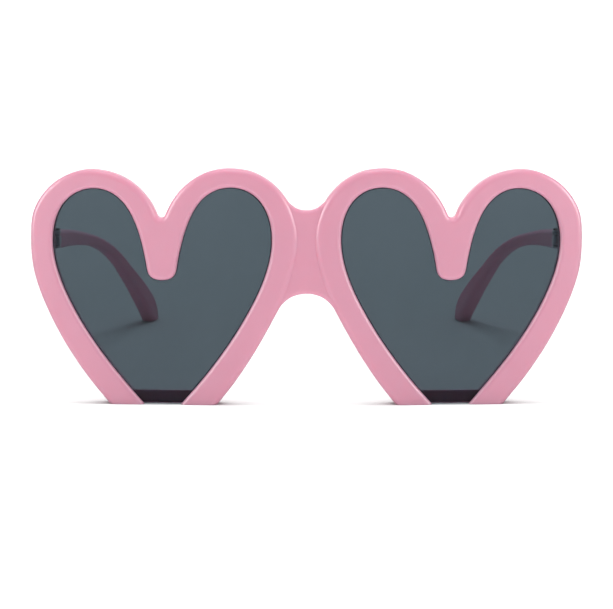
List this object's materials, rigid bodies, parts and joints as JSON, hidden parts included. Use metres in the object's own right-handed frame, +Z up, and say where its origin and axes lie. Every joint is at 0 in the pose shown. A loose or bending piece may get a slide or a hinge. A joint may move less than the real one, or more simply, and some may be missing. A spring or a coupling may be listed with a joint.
{
  "type": "heart shaped sunglasses",
  "caption": "Sunglasses with a pink moulded front of flat-footed heart rims joined by a set-back bridge, smoke-grey heart lenses, and slender curved temples that fold on screwed barrel hinges.",
  "frame": {"origin": "on the floor under the middle of the open sunglasses, halfway between the front face and the temple tips", "axes": "+X to the right as seen from in front (the wearer's left), -Y the way the front faces, +Z up, with the feet of the hearts and the temple tips on z = 0"},
  "size_m": [0.1516, 0.1444, 0.0655],
  "materials": {
    "pink_plastic": "satin moulded",
    "pad_plastic": "satin moulded",
    "smoke_lens": "polished, smoke-grey tint",
    "hinge_metal": "nickel plated",
    "screw_steel": "blackened"
  },
  "bodies": {
    "front": {"front_frame": "pink_plastic", "right_lens": "smoke_lens", "left_lens": "smoke_lens", "right_front_hinge_leaf": "hinge_metal", "left_front_hinge_leaf": "hinge_metal", "right_hinge_screw": "screw_steel", "left_hinge_screw": "screw_steel", "right_front_leaf_screws": "screw_steel", "left_front_leaf_screws": "screw_steel", "right_nose_pad": "pad_plastic", "left_nose_pad": "pad_plastic"},
    "right_side_arm": {"right_temple": "pink_plastic", "right_temple_hinge_leaf": "hinge_metal", "right_temple_leaf_screws": "screw_steel"},
    "left_side_arm": {"left_temple": "pink_plastic", "left_temple_hinge_leaf": "hinge_metal", "left_temple_leaf_screws": "screw_steel"}
  },
  "joints": [
    {"name": "right_temple_fold", "type": "hinge", "parent": "front", "child": "right_side_arm", "pos_m": [-0.0696, -0.06037, 0.0447], "axis": [0, 0, -1], "range_deg": [0, 78]},
    {"name": "left_temple_fold", "type": "hinge", "parent": "front", "child": "left_side_arm", "pos_m": [0.0696, -0.06037, 0.0447], "axis": [0, 0, 1], "range_deg": [0, 82]}
  ]
}
